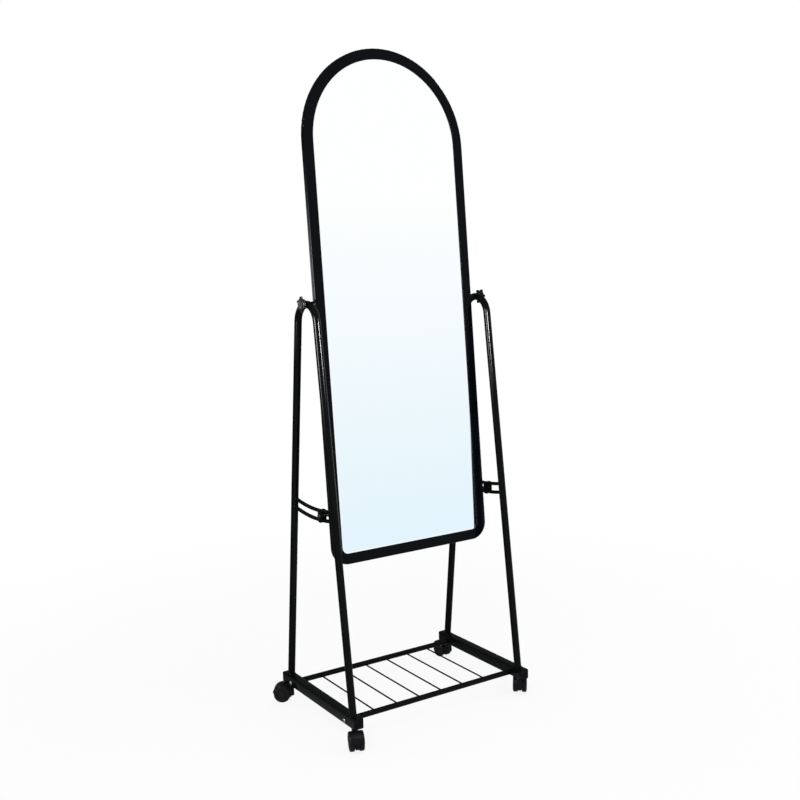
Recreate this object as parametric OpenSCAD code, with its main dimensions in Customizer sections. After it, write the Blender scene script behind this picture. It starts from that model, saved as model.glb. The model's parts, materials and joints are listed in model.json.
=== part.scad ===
// Rolling floor mirror: an arched mirror tilts between two inverted-U tube hoops,
// which stand on a wheeled base with a wire shelf.
// Millimetres, +Z up, +X to the viewer's right, and the reflecting side faces -Y.
// The origin is on the floor, under the middle of the stand.

/* [Mirror] */
// Outer width of the mirror frame
mirror_w = 402; // [340:1:460]
// Outer height of the mirror frame, from its bottom edge to the top of the arch
mirror_h = 1088; // [1000:1:1200]
// Distance from the top of the arch down to the tilt pivot
pivot_drop = 536; // [480:1:580]
// Outer radius of the frame's two bottom corners
corner_r = 38; // [30:1:60]
// Width of the frame's face, as seen from the front
face_w = 23; // [21:0.5:28]
// Depth of the frame, from front to back
frame_depth = 14; // [13:0.5:18]
// Rounding of the frame's outer edges
edge_r = 4; // [2.5:0.5:5]
// Wall of the frame's hollow tube
frame_wall = 1; // [0.8:0.1:1.4]
// Width of the front lip that holds the glass
lip_w = 6.5; // [5:0.5:8]
// Thickness of the front lip
lip_t = 2.6; // [2:0.1:3]
// Gap between the glass's edge and the frame
pane_gap = 0.5; // [0.3:0.1:1]
// Thickness of the silvered glass
glass_t = 4; // [3:0.5:4]
// Thickness of the backing board
board_t = 5; // [3:0.5:5]
// How far the mirror leans back in the photographed pose, in degrees
rest_tilt = 4.5; // [0:0.5:8]

/* [Back clips] */
// Thickness of a retaining clip
clip_t = 1.2; // [0.8:0.1:2]
// Width of a retaining clip
clip_w = 12; // [10:1:16]
// How far a clip reaches in from the frame's outer edge
clip_reach = 29; // [26:1:34]
// Spacing of the clips along each straight side
clip_pitch = 220; // [180:10:240]
// Diameter of a clip screw
clip_screw_d = 3.5; // [3:0.5:4]

/* [Hoops] */
// Height of the tilt pivot above the floor
pivot_h = 903.5; // [860:0.5:960]
// Outer diameter of the hoop tube
tube_d = 16; // [14:0.5:18]
// Wall of the hoop tube
tube_wall = 1.2; // [1:0.1:1.6]
// Radius of the bend at the top of a hoop, on the tube's centre line
bend_r = 41; // [32:1:50]
// Distance from the end of a base bar to the middle of a hoop's foot
foot_inset = 21; // [10:1:30]
// Gap between the mirror frame and a hoop
side_gap = 9; // [8:0.5:14]

/* [Pivot] */
// Diameter of the pivot and slider bolts
bolt_d = 6; // [5:0.5:6]
// Diameter of the pivot spacer where it sits on the frame
spacer_base_d = 12.5; // [12:0.5:16]
// Diameter of the pivot spacer next to the hoop
spacer_tip_d = 10; // [9:0.5:12]
// Thickness of the washer under a knob
washer_t = 1; // [0.8:0.1:1.5]
// Diameter of the washer under a knob
washer_d = 14; // [12:0.5:18]
// Overall diameter of a clamp knob, over its lobes
knob_d = 33.5; // [31:0.5:40]
// Thickness of a clamp knob at its lobes
knob_t = 5; // [4:0.5:10]
// Number of lobes on a clamp knob
knob_lobes = 6; // [5:1:7]
// Radius of one lobe
lobe_r = 2.9; // [2.5:0.1:3.5]
// Diameter of a clamp knob's body, between its lobes
knob_core_d = 25; // [22:0.5:27]
// Diameter of the raised middle of a clamp knob
boss_d = 17; // [14:0.5:20]
// Height of the raised middle of a clamp knob above its lobes
boss_h = 1.2; // [0.5:0.1:3]
// Turn of the left knob in the photographed pose, in degrees
left_knob_turn = 30; // [0:5:60]
// Turn of the right knob in the photographed pose, in degrees
right_knob_turn = 0; // [0:5:60]

/* [Tilt guides] */
// Radius of the guide slot's centre line about the pivot
slot_r = 440; // [400:1:460]
// Diameter of the guide rods
guide_d = 8; // [6:0.5:10]
// Diameter of the nylon bush that runs between the rods
bush_d = 11; // [10:0.5:13]
// Size of a slider plate along the rods
plate_w = 16; // [14:1:24]
// Size of a slider plate across the rods
plate_h = 28; // [28:1:36]
// Thickness of a slider plate
plate_t = 1.8; // [1.2:0.1:2.5]
// Diameter of the post between the frame and the inner slider plate
post_d = 8; // [7.5:0.5:13]

/* [Base] */
// Size of the square base bars
bar_size = 22; // [18:1:25]
// Wall of the base bars
bar_wall = 1.5; // [1.2:0.1:2]
// Length of a base bar without its end caps
bar_len = 316; // [270:1:340]
// Thickness of an end cap's plate
cap_t = 2; // [1.5:0.5:4]
// Depth of an end cap's plug
cap_plug = 6; // [4:0.5:6]
// Distance from the end of a base bar to a shelf rail
rail_inset = 37; // [32:1:60]
// Outer diameter of a shelf rail
rail_d = 12; // [10:0.5:13]
// Wall of a shelf rail
rail_wall = 1.2; // [1:0.1:1.5]
// How far the rails lie below the middle of the bars
rail_drop = 3; // [0:0.5:3.5]
// Diameter of the shelf wires
wire_d = 3.5; // [2:0.5:5]
// Number of shelf wires
wire_count = 6; // [3:1:6]
// Distance from the left bar to the first wire
wire_start = 54.5; // [40:0.5:70]
// Spacing of the shelf wires
wire_pitch = 57.8; // [40:0.1:58]
// Diameter of the rail screws
rail_screw_d = 5; // [4:0.5:6]
// Depth of the plug in each end of a rail
rail_plug = 18; // [16:1:25]

/* [Casters] */
// Diameter of a wheel
wheel_d = 38; // [37:0.5:42]
// Width of one wheel
wheel_w = 10.6; // [9:0.1:10.6]
// Overall width of a caster
caster_w = 31; // [31:0.5:34]
// Thickness of the web between the two wheels
web_t = 8; // [6:0.5:8]
// Wall of the hood over the wheels
hood_wall = 1.6; // [1.2:0.1:2]
// Gap between the wheels and the hood
hood_gap = 1; // [0.8:0.1:1.4]
// Gap between the top of a hood and the underside of the bar
neck_gap = 2; // [1.5:0.1:6]
// Distance from the swivel axis back to the axle
trail = 19.5; // [19:0.5:23]
// Diameter of the caster stem
stem_d = 8; // [6:0.5:8]
// Diameter of the axle
axle_d = 4; // [3:0.5:5]
// Distance from the end of a base bar to a swivel axis
stem_inset = 16; // [14:0.5:18]
// Headings of the four casters in the photographed pose, in degrees
front_left_heading = -112; // [-180:1:180]
back_left_heading = 145; // [-180:1:180]
front_right_heading = 47; // [-180:1:180]
back_right_heading = 90; // [-180:1:180]

/* [Hidden] */
$fn = 96;

// Colours
black_paint = [0.06, 0.06, 0.07];
black_plastic = [0.12, 0.12, 0.13];
zinc = [0.72, 0.73, 0.75];

// Fits
run_gap = 0.05;   // radial clearance of a pin in its bore
side_clear = 0.3; // clearance beside pieces that move past each other
face_gap = 0.1;   // gap between two flat faces that turn on each other
end_gap = 0.5;    // room past the end of a pin in its blind bore
cut = 1;          // how far a cutting solid reaches past a face

// Heights
wheel_r = wheel_d / 2;
hood_r = wheel_r + hood_gap + hood_wall;
bar_bottom = wheel_r + hood_r + neck_gap;
bar_mid = bar_bottom + bar_size / 2;
bar_top = bar_bottom + bar_size;
rail_z = bar_mid - rail_drop;

// Places along the bars
foot_spread = bar_len - 2 * foot_inset;
rail_spacing = bar_len - 2 * rail_inset;
stem_spacing = bar_len - 2 * stem_inset;

// Hoops
hoop_x = mirror_w / 2 + side_gap + tube_d / 2;
bend_z = pivot_h - bend_r;
foot_reach = norm([foot_spread / 2, bend_z - bar_top]);
lean = atan2(foot_spread / 2, bend_z - bar_top) - asin(bend_r / foot_reach);
leg_len = foot_reach + tube_d;

// Angle from straight down, seen from the pivot, at which a leg crosses radius r
function leg_angle(r) = lean + asin(bend_r * (1 - sin(lean)) / r);

// Shelf
rail_half = hoop_x - bar_size / 2;
wire_in_rail = 1.8; // how far a wire reaches past the rail's wall
wire_inset = rail_wall + wire_in_rail;
plug_margin = 2;    // how far a rail screw stops short of its plug's end

// Mirror, laid flat: x across, y up the glass, z towards the viewer, pivot at the origin
half_w = mirror_w / 2;
arch_y = pivot_drop - half_w;
base_y = pivot_drop - mirror_h;
channel_w = face_w - lip_w;
pane_inset = channel_w + pane_gap;
glass_front = frame_depth / 2 - lip_t;
glass_back = glass_front - glass_t;
board_back = -frame_depth / 2;
board_front = board_back + board_t;
first_clip_y = -390;
bottom_clip_x = 90;
arch_clip_step = 45;
clip_edge = 3;
nut_w = 10;
nut_t = 5;

// Slider stack, measured out from the middle of the mirror
inner_plate_x = hoop_x - guide_d / 2 - side_clear - plate_t;
outer_plate_x = hoop_x + guide_d / 2 + side_clear;
slider_head_d = 10.5;
slider_head_t = 3.2;
guide_offset = (bush_d + guide_d) / 2 + side_clear;

// Pivot stack, measured out from the middle of the mirror
hoop_out = hoop_x + tube_d / 2;
washer_x = hoop_out + side_clear;
knob_x = washer_x + washer_t + face_gap;
boss_x = knob_x + knob_t + boss_h;
knob_cover = 2;
bolt_end = boss_x - knob_cover - end_gap;

// Casters
stem_z = 20;
socket_d = 13;
socket_bottom = 13;
socket_top = 39;
flange_t = 1.2;
flange_d = 11;
thread_len = 15;
caster_nut_w = 13;
caster_nut_t = 6.5;
web_bottom = 9;
shoulder_r = 3;
tread_r = 2.5;
wheel_cover = 1.6;
hood_back_z = 22;

// ---- helpers ----

// A round bar along X from x0 to x1
module bar_x(x0, x1, d) {
  translate([x0, 0, 0])
    rotate([0, 90, 0])
      cylinder(h = x1 - x0, d = d);
}

// A hexagonal nut along X, of width w across its flats, with a bore
module nut_x(x0, x1, w, bore) {
  difference() {
    translate([x0, 0, 0])
      rotate([0, 90, 0])
        cylinder(h = x1 - x0, d = w / cos(30), $fn = 6);
    bar_x(x0 - cut, x1 + cut, bore);
  }
}

// Puts children on one side of the stand: side is -1 for left, 1 for right
module on_side(side) {
  mirror([side < 0 ? 1 : 0, 0, 0])
    children();
}

// Puts the flat mirror's pieces in place: upright, on the pivot and leaning back
module on_mirror(side = 1) {
  translate([0, 0, pivot_h])
    rotate([90 - rest_tilt, 0, 0])
      on_side(side)
        children();
}

// ---- hoops and tilt guides ----

// Puts children at the end of the top bend on one side, with the leg running down -Z from there
module at_bend_end(way) {
  mirror([0, way < 0 ? 1 : 0, 0])
    translate([0, 0, bend_z])
      rotate([lean, 0, 0])
        children();
}

module hoop_leg(way) {
  at_bend_end(way)
    translate([0, bend_r, -leg_len])
      linear_extrude(leg_len)
        children();
}

// Half of the top bend, from one leg to the apex, with its half of the pivot bore
module half_bend(way) {
  difference() {
    at_bend_end(way)
      rotate([0, 90, 0])
        rotate([0, 0, 90])
          rotate_extrude(angle = 90)
            translate([bend_r, 0])
              children();
    translate([-tube_d, way > 0 ? -2 * bend_r : 0, bend_z])
      cube([2 * tube_d, 2 * bend_r, 2 * bend_r]);
    translate([0, 0, pivot_h])
      bar_x(-tube_d, tube_d, bolt_d + 2 * run_gap);
  }
}

module tube_section() {
  difference() {
    circle(d = tube_d);
    circle(d = tube_d - 2 * tube_wall);
  }
}

module hoop(side) {
  color(black_paint)
    on_side(side)
      translate([hoop_x, 0, 0])
        for (way = [-1, 1]) {
          half_bend(way)
            tube_section();
          difference() {
            hoop_leg(way)
              tube_section();
            translate([-tube_d, -foot_spread, bar_top - 2 * tube_d])
              cube([2 * tube_d, 2 * foot_spread, 2 * tube_d]);
          }
        }
}

// A rod bent about the pivot and cut to seat on both legs of its hoop
module guide(side, r) {
  color(black_paint)
    on_side(side)
      translate([hoop_x, 0, 0])
        difference() {
          translate([0, 0, pivot_h])
            rotate([0, 90, 0])
              rotate([0, 0, -leg_angle(r)])
                rotate_extrude(angle = 2 * leg_angle(r))
                  translate([r, 0])
                    circle(d = guide_d);
          for (way = [-1, 1])
            hoop_leg(way)
              circle(d = tube_d);
        }
}

// ---- base ----

module base_bar(side) {
  inner = bar_size - 2 * bar_wall;
  color(black_paint)
    on_side(side)
      translate([hoop_x, 0, 0])
        difference() {
          translate([-bar_size / 2, -bar_len / 2, bar_bottom])
            cube([bar_size, bar_len, bar_size]);
          translate([-inner / 2, -bar_len / 2 - cut, bar_bottom + bar_wall])
            cube([inner, bar_len + 2 * cut, inner]);
          for (way = [-1, 1]) {
            translate([0, way * stem_spacing / 2, bar_bottom - cut])
              cylinder(h = bar_wall + 2 * cut, d = stem_d + 2 * run_gap);
            translate([0, way * rail_spacing / 2, rail_z])
              bar_x(-bar_size, bar_size, rail_screw_d + 2 * run_gap);
          }
        }
}

module end_cap(side, way) {
  plug = bar_size - 2 * bar_wall - 2 * run_gap;
  color(black_plastic)
    on_side(side)
      mirror([0, way < 0 ? 1 : 0, 0])
        translate([hoop_x, bar_len / 2, bar_mid]) {
          translate([-bar_size / 2, 0, -bar_size / 2])
            cube([bar_size, cap_t, bar_size]);
          translate([-plug / 2, -cap_plug, -plug / 2])
            cube([plug, cap_plug, plug]);
        }
}

module shelf_rail(way) {
  color(black_paint)
    mirror([0, way > 0 ? 1 : 0, 0])
      translate([0, -rail_spacing / 2, rail_z])
        difference() {
          bar_x(-rail_half, rail_half, rail_d);
          bar_x(-rail_half - cut, rail_half + cut, rail_d - 2 * rail_wall);
          for (i = [0 : wire_count - 1])
            translate([wire_x(i), 0, 0])
              rotate([-90, 0, 0])
                cylinder(h = rail_d, d = wire_d + 2 * run_gap);
        }
}

function wire_x(i) = wire_start - rail_half + i * wire_pitch;

module shelf_wires() {
  wire_half = (rail_spacing - rail_d) / 2 + wire_inset;
  color(black_paint)
    for (i = [0 : wire_count - 1])
      translate([wire_x(i), -wire_half, rail_z])
        rotate([-90, 0, 0])
          cylinder(h = 2 * wire_half, d = wire_d);
}

// Puts children at the end of each rail, with +X pointing out of the rail
module at_rail_ends() {
  for (side = [-1, 1], way = [-1, 1])
    on_side(side)
      translate([0, way * rail_spacing / 2, rail_z])
        children();
}

module rail_plugs() {
  color(black_plastic)
    at_rail_ends()
      difference() {
        bar_x(rail_half - rail_plug, rail_half, rail_d - 2 * rail_wall - 2 * run_gap);
        bar_x(rail_half - rail_plug - cut, rail_half + cut, rail_screw_d + 2 * run_gap);
      }
}

module rail_screws() {
  head_x = hoop_x + bar_size / 2;
  head_d = 1.9 * rail_screw_d;
  head_t = 0.55 * rail_screw_d;
  color(zinc)
    at_rail_ends() {
      bar_x(rail_half - rail_plug + plug_margin, head_x, rail_screw_d);
      difference() {
        bar_x(head_x, head_x + head_t, head_d);
        translate([head_x + head_t / 2, 0, 0])
          rotate([0, 90, 0])
            cylinder(h = head_t, d = 0.5 * head_d, $fn = 6);
      }
    }
}

// ---- casters ----

// Puts children at a caster, with the swivel axis on Z
module at_stem(side, way) {
  translate([side * hoop_x, way * stem_spacing / 2, 0])
    children();
}

// Puts children at a caster's axle: the axle lies along Z and the caster trails along +X
module at_axle(side, way, heading) {
  at_stem(side, way)
    rotate([0, 0, heading])
      translate([trail, 0, wheel_r])
        rotate([90, 0, 0])
          children();
}

module caster_nuts() {
  color(zinc)
    for (side = [-1, 1], way = [-1, 1])
      at_stem(side, way)
        translate([0, 0, bar_bottom + bar_wall])
          rotate([0, -90, 0])
            nut_x(0, caster_nut_t, caster_nut_w, stem_d + 2 * run_gap);
}

module caster_stems() {
  color(zinc)
    for (side = [-1, 1], way = [-1, 1])
      at_stem(side, way) {
        translate([0, 0, stem_z])
          cylinder(h = bar_bottom + thread_len - stem_z, d = stem_d);
        translate([0, 0, socket_top + face_gap])
          cylinder(h = flange_t, d = flange_d);
        translate([0, 0, bar_bottom - flange_t])
          cylinder(h = flange_t, d = flange_d);
      }
}

// Section of the hood's band on one side of the middle: x is the radius, y the width
module band_section() {
  half = caster_w / 2;
  inner = hood_r - hood_wall;
  difference() {
    union() {
      square([hood_r, half - shoulder_r]);
      square([hood_r - shoulder_r, half]);
      translate([hood_r - shoulder_r, half - shoulder_r])
        circle(r = shoulder_r);
    }
    translate([-cut, -shoulder_r])
      square([inner + cut, caster_w]);
    translate([-cut, -caster_w])
      square([2 * hood_r, caster_w]);
  }
}

// Puts children on the swivel axis of a caster that is drawn about its axle
module from_axle() {
  translate([-trail, -wheel_r, 0])
    rotate([-90, 0, 0])
      children();
}

module hood_shell() {
  inner = hood_r - hood_wall;
  half = caster_w / 2;
  difference() {
    union() {
      // band over the wheels, open below the axle on the trailing side
      difference() {
        for (turn = [0, 180])
          rotate([turn, 0, 0])
            rotate_extrude()
              band_section();
        translate([0, -hood_r - cut, -half - cut])
          cube([hood_r + cut, hood_r + cut + hood_back_z - wheel_r, caster_w + 2 * cut]);
        translate([-hood_r - cut, -hood_r - cut, -half - cut])
          cube([2 * hood_r, hood_r + cut + socket_bottom - wheel_r, caster_w + 2 * cut]);
      }
      // web between the wheels
      difference() {
        translate([0, 0, -web_t / 2])
          cylinder(h = web_t, r = inner + hood_wall / 2);
        translate([-hood_r - cut, -hood_r - cut, -half])
          cube([2 * hood_r + 2 * cut, hood_r + cut + web_bottom - wheel_r, caster_w]);
      }
      // socket for the stem, cleared for the wheels
      difference() {
        from_axle()
          translate([0, 0, socket_bottom])
            cylinder(h = socket_top - socket_bottom, d = socket_d);
        for (turn = [0, 180])
          rotate([turn, 0, 0])
            translate([0, 0, web_t / 2])
              cylinder(h = caster_w, r = inner);
      }
    }
    from_axle()
      translate([0, 0, stem_z - end_gap])
        cylinder(h = bar_top, d = stem_d + 2 * run_gap);
    translate([0, 0, -half])
      cylinder(h = caster_w, d = axle_d + 2 * run_gap);
  }
}

module caster_hood(side, way, heading) {
  color(black_plastic)
    at_axle(side, way, heading)
      hood_shell();
}

module caster_axle(side, way, heading) {
  half = caster_w / 2 - side_clear - wheel_cover - end_gap;
  color(zinc)
    at_axle(side, way, heading)
      translate([0, 0, -half])
        cylinder(h = 2 * half, d = axle_d);
}

// Section of a wheel: x is the radius, y runs out from the wheel's inner face
module wheel_section() {
  rim_in = 14;
  hub_out = 6;
  dish = 1.2;
  difference() {
    union() {
      square([wheel_r - tread_r, wheel_w]);
      translate([0, tread_r])
        square([wheel_r, wheel_w - 2 * tread_r]);
      for (y = [tread_r, wheel_w - tread_r])
        translate([wheel_r - tread_r, y])
          circle(r = tread_r);
    }
    translate([hub_out, wheel_w - dish])
      square([rim_in - hub_out, wheel_w]);
    translate([-cut, -cut])
      square([axle_d / 2 + run_gap + cut, wheel_w - wheel_cover + cut]);
    translate([-caster_w, -caster_w])
      square([caster_w, 2 * caster_w]);
  }
}

module caster_wheel(side, way, heading, turn) {
  color(black_plastic)
    at_axle(side, way, heading)
      rotate([turn, 0, 0])
        translate([0, 0, caster_w / 2 - side_clear - wheel_w])
          rotate_extrude()
            wheel_section();
}

// ---- mirror ----

// Outline of the glass side of the frame, drawn in from the frame's outer edge
module pane_outline(inset) {
  translate([0, arch_y])
    circle(r = half_w - inset);
  translate([-half_w + inset, base_y + corner_r])
    square([mirror_w - 2 * inset, arch_y - base_y - corner_r]);
  translate([-half_w + corner_r, base_y + inset])
    square([mirror_w - 2 * corner_r, corner_r]);
  for (side = [-1, 1])
    translate([side * (half_w - corner_r), base_y + corner_r])
      circle(r = corner_r - inset);
}

// A tube profile with two rounded outer corners: its outer edge is on x = 0
module channel_section(width, depth, r) {
  translate([-width, -depth / 2])
    square([width - r, depth]);
  translate([-r, -depth / 2 + r])
    square([r, depth - 2 * r]);
  for (side = [-1, 1])
    translate([-r, side * (depth / 2 - r)])
      circle(r = r);
}

// The frame's section: a hollow tube with a thin lip in front of the glass
module frame_section() {
  lip_x = -face_w + lip_t / 2;
  difference() {
    union() {
      channel_section(channel_w, frame_depth, edge_r);
      translate([lip_x, frame_depth / 2 - lip_t])
        square([lip_w, lip_t]);
      translate([lip_x, frame_depth / 2 - lip_t / 2])
        circle(d = lip_t);
    }
    translate([-frame_wall, 0])
      channel_section(
        channel_w - 2 * frame_wall,
        frame_depth - 2 * frame_wall,
        edge_r - frame_wall
      );
  }
}

module frame_ring() {
  translate([0, arch_y, 0])
    rotate_extrude(angle = 180)
      translate([half_w, 0])
        frame_section();
  for (side = [-1, 1])
    on_side(side) {
      translate([half_w, arch_y, 0])
        rotate([90, 0, 0])
          linear_extrude(arch_y - base_y - corner_r)
            frame_section();
      translate([half_w - corner_r, base_y + corner_r, 0])
        rotate([0, 0, -90])
          rotate_extrude(angle = 90)
            translate([corner_r, 0])
              frame_section();
    }
  translate([-half_w + corner_r, base_y, 0])
    rotate([0, 0, -90])
      rotate([90, 0, 0])
        mirror([0, 0, 1])
          linear_extrude(mirror_w - 2 * corner_r)
            frame_section();
}

// Puts children at each clip, with +X pointing in from the frame's outer edge
module at_clips() {
  for (side = [-1, 1]) {
    for (i = [0 : 3])
      on_side(side)
        translate([half_w, first_clip_y + i * clip_pitch, 0])
          rotate([0, 0, 180])
            children();
    translate([side * bottom_clip_x, base_y, 0])
      rotate([0, 0, 90])
        children();
  }
  for (i = [1 : 3])
    translate([0, arch_y, 0])
      rotate([0, 0, i * arch_clip_step])
        translate([half_w, 0, 0])
          rotate([0, 0, 180])
            children();
}

module mirror_frame() {
  color(black_paint)
    on_mirror()
      difference() {
        frame_ring();
        for (side = [-1, 1], y = [0, -slot_r])
          on_side(side)
            translate([half_w - 2 * frame_wall, y, 0])
              rotate([0, 90, 0])
                cylinder(h = 4 * frame_wall, d = bolt_d + 2 * run_gap);
        at_clips()
          translate([channel_w / 2, 0, board_back - cut])
            cylinder(h = frame_wall + 2 * cut, d = clip_screw_d + 2 * run_gap);
      }
}

module mirror_glass() {
  color([0.86, 0.93, 0.96])
    on_mirror()
      translate([0, 0, glass_back])
        linear_extrude(glass_t)
          pane_outline(pane_inset);
}

module foam_pad() {
  color([0.8, 0.8, 0.78])
    on_mirror()
      translate([0, 0, board_front])
        linear_extrude(glass_back - board_front)
          pane_outline(pane_inset);
}

module backing_board() {
  color([0.62, 0.49, 0.35])
    on_mirror()
      translate([0, 0, board_back])
        linear_extrude(board_t)
          pane_outline(pane_inset);
}

module retaining_clips() {
  color(black_paint)
    on_mirror()
      at_clips()
        translate([0, 0, board_back - clip_t])
          difference() {
            linear_extrude(clip_t) {
              translate([clip_edge + clip_w / 2, -clip_w / 2])
                square([clip_reach - clip_edge - clip_w, clip_w]);
              for (x = [clip_edge + clip_w / 2, clip_reach - clip_w / 2])
                translate([x, 0])
                  circle(d = clip_w);
            }
            translate([channel_w / 2, 0, -cut])
              cylinder(h = clip_t + 2 * cut, d = clip_screw_d + 2 * run_gap);
          }
}

module clip_screws() {
  head_t = 1.8;
  shank = 5;
  color(zinc)
    on_mirror()
      at_clips()
        translate([channel_w / 2, 0, board_back - clip_t]) {
          translate([0, 0, -head_t])
            cylinder(h = head_t, d = 1.9 * clip_screw_d);
          cylinder(h = clip_t + shank, d = clip_screw_d);
        }
}

// The straight side of the frame as a solid, drawn in by an inset all round
module frame_side(length, inset = 0) {
  translate([half_w - inset, length / 2, 0])
    rotate([90, 0, 0])
      linear_extrude(length)
        channel_section(channel_w - 2 * inset, frame_depth - 2 * inset, edge_r - inset);
}

// Nuts held behind the frame's outer wall, shaped to its inside, for the pivot and slider bolts
module frame_nuts() {
  seat = frame_wall + run_gap;
  color(zinc)
    for (side = [-1, 1])
      on_mirror(side)
        for (y = [0, -slot_r])
          translate([0, y, 0])
            intersection() {
              nut_x(half_w - seat - nut_t, half_w - frame_wall, nut_w, bolt_d + 2 * run_gap);
              frame_side(3 * nut_w, seat);
            }
}

// ---- pivots ----

module pivot_bolt(side) {
  color(zinc)
    on_mirror(side)
      bar_x(half_w - frame_wall - nut_t, bolt_end, bolt_d);
}

module pivot_spacer(side) {
  tip = hoop_x - tube_d / 2 - side_clear;
  root = half_w - edge_r;
  color(black_plastic)
    on_mirror(side)
      difference() {
        union() {
          bar_x(root, half_w, spacer_base_d);
          translate([half_w, 0, 0])
            rotate([0, 90, 0])
              cylinder(h = tip - half_w, d1 = spacer_base_d, d2 = spacer_tip_d);
        }
        frame_side(3 * spacer_base_d);
        bar_x(root - cut, tip + cut, bolt_d + 2 * run_gap);
      }
}

module pivot_washers() {
  color(zinc)
    for (side = [-1, 1])
      on_mirror(side)
        difference() {
          bar_x(washer_x, washer_x + washer_t, washer_d);
          bar_x(washer_x - cut, washer_x + washer_t + cut, bolt_d + 2 * run_gap);
        }
}

module pivot_knob(side, turn) {
  lobe_c = knob_d / 2 - lobe_r;
  color(black_plastic)
    on_mirror(side)
      difference() {
        union() {
          translate([knob_x, 0, 0])
            rotate([0, 90, 0])
              rotate([0, 0, turn])
                linear_extrude(knob_t) {
                  circle(d = knob_core_d);
                  for (i = [0 : knob_lobes - 1])
                    rotate(i * 360 / knob_lobes)
                      translate([lobe_c, 0])
                        circle(r = lobe_r);
                }
          bar_x(knob_x, boss_x, boss_d);
        }
        bar_x(knob_x - cut, boss_x - knob_cover, bolt_d + 2 * run_gap);
      }
}

// ---- sliders ----

// Puts children at a slider, on the guide slot
module at_slider(side) {
  on_mirror(side)
    translate([0, -slot_r, 0])
      children();
}

module slider_post(side) {
  root = half_w - edge_r;
  color(black_plastic)
    at_slider(side)
      difference() {
        bar_x(root, inner_plate_x, post_d);
        frame_side(3 * post_d);
        bar_x(root - cut, inner_plate_x + cut, bolt_d + 2 * run_gap);
      }
}

module slider_bush(side) {
  start = inner_plate_x + plate_t;
  color(black_plastic)
    at_slider(side)
      difference() {
        bar_x(start, outer_plate_x, bush_d);
        bar_x(start - cut, outer_plate_x + cut, bolt_d + 2 * run_gap);
      }
}

// A plate with rounded ends across both guide rods
module slider_plate(side, x) {
  color(black_paint)
    at_slider(side)
      difference() {
        translate([x, 0, 0])
          rotate([0, 90, 0])
            linear_extrude(plate_t)
              plate_outline();
        bar_x(x - cut, x + plate_t + cut, bolt_d + 2 * run_gap);
      }
}

module plate_outline() {
  round_r = 4;
  square([plate_w, plate_h - 2 * round_r], center = true);
  square([plate_w - 2 * round_r, plate_h], center = true);
  for (x = [-1, 1], y = [-1, 1])
    translate([x * (plate_w / 2 - round_r), y * (plate_h / 2 - round_r)])
      circle(r = round_r);
}

module slider_bolt(side) {
  head_x = outer_plate_x + plate_t;
  color(zinc)
    at_slider(side) {
      bar_x(half_w - frame_wall - nut_t, head_x, bolt_d);
      difference() {
        bar_x(head_x, head_x + slider_head_t, slider_head_d);
        translate([head_x + slider_head_t / 2, 0, 0])
          rotate([0, 90, 0])
            cylinder(h = slider_head_t, d = 4 / cos(30), $fn = 6);
      }
    }
}

// ---- the assembly ----

upper_r = slot_r - guide_offset;
lower_r = slot_r + guide_offset;
fl = front_left_heading;
bl = back_left_heading;
fr = front_right_heading;
br = back_right_heading;

hoop(-1);  // left_hoop
hoop(1);  // right_hoop
guide(-1, upper_r);  // left_upper_guide
guide(-1, lower_r);  // left_lower_guide
guide(1, upper_r);  // right_upper_guide
guide(1, lower_r);  // right_lower_guide
base_bar(-1);  // left_base_bar
base_bar(1);  // right_base_bar
end_cap(-1, -1);  // front_left_end_cap
end_cap(-1, 1);  // back_left_end_cap
end_cap(1, -1);  // front_right_end_cap
end_cap(1, 1);  // back_right_end_cap
shelf_rail(-1);  // front_shelf_rail
shelf_rail(1);  // back_shelf_rail
shelf_wires();
rail_plugs();
rail_screws();
caster_nuts();
caster_stems();
caster_hood(-1, -1, fl);  // front_left_caster_hood
caster_axle(-1, -1, fl);  // front_left_caster_axle
caster_wheel(-1, -1, fl, 0);  // front_left_caster_wheel_1
caster_wheel(-1, -1, fl, 180);  // front_left_caster_wheel_2
caster_hood(-1, 1, bl);  // back_left_caster_hood
caster_axle(-1, 1, bl);  // back_left_caster_axle
caster_wheel(-1, 1, bl, 0);  // back_left_caster_wheel_1
caster_wheel(-1, 1, bl, 180);  // back_left_caster_wheel_2
caster_hood(1, -1, fr);  // front_right_caster_hood
caster_axle(1, -1, fr);  // front_right_caster_axle
caster_wheel(1, -1, fr, 0);  // front_right_caster_wheel_1
caster_wheel(1, -1, fr, 180);  // front_right_caster_wheel_2
caster_hood(1, 1, br);  // back_right_caster_hood
caster_axle(1, 1, br);  // back_right_caster_axle
caster_wheel(1, 1, br, 0);  // back_right_caster_wheel_1
caster_wheel(1, 1, br, 180);  // back_right_caster_wheel_2
mirror_frame();
mirror_glass();
foam_pad();
backing_board();
retaining_clips();
clip_screws();
frame_nuts();
pivot_bolt(-1);  // left_pivot_bolt
pivot_bolt(1);  // right_pivot_bolt
pivot_spacer(-1);  // left_pivot_spacer
pivot_spacer(1);  // right_pivot_spacer
pivot_washers();
slider_post(-1);  // left_slider_post
slider_post(1);  // right_slider_post
slider_bush(-1);  // left_slider_bush
slider_bush(1);  // right_slider_bush
slider_plate(-1, inner_plate_x);  // left_inner_slider_plate
slider_plate(1, inner_plate_x);  // right_inner_slider_plate
slider_plate(-1, outer_plate_x);  // left_outer_slider_plate
slider_plate(1, outer_plate_x);  // right_outer_slider_plate
slider_bolt(-1);  // left_slider_bolt
slider_bolt(1);  // right_slider_bolt
pivot_knob(-1, left_knob_turn);  // left_pivot_knob
pivot_knob(1, right_knob_turn);  // right_pivot_knob
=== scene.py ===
import bpy
import json
import math
from math import radians, sin, cos, pi
from mathutils import Matrix, Vector


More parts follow.
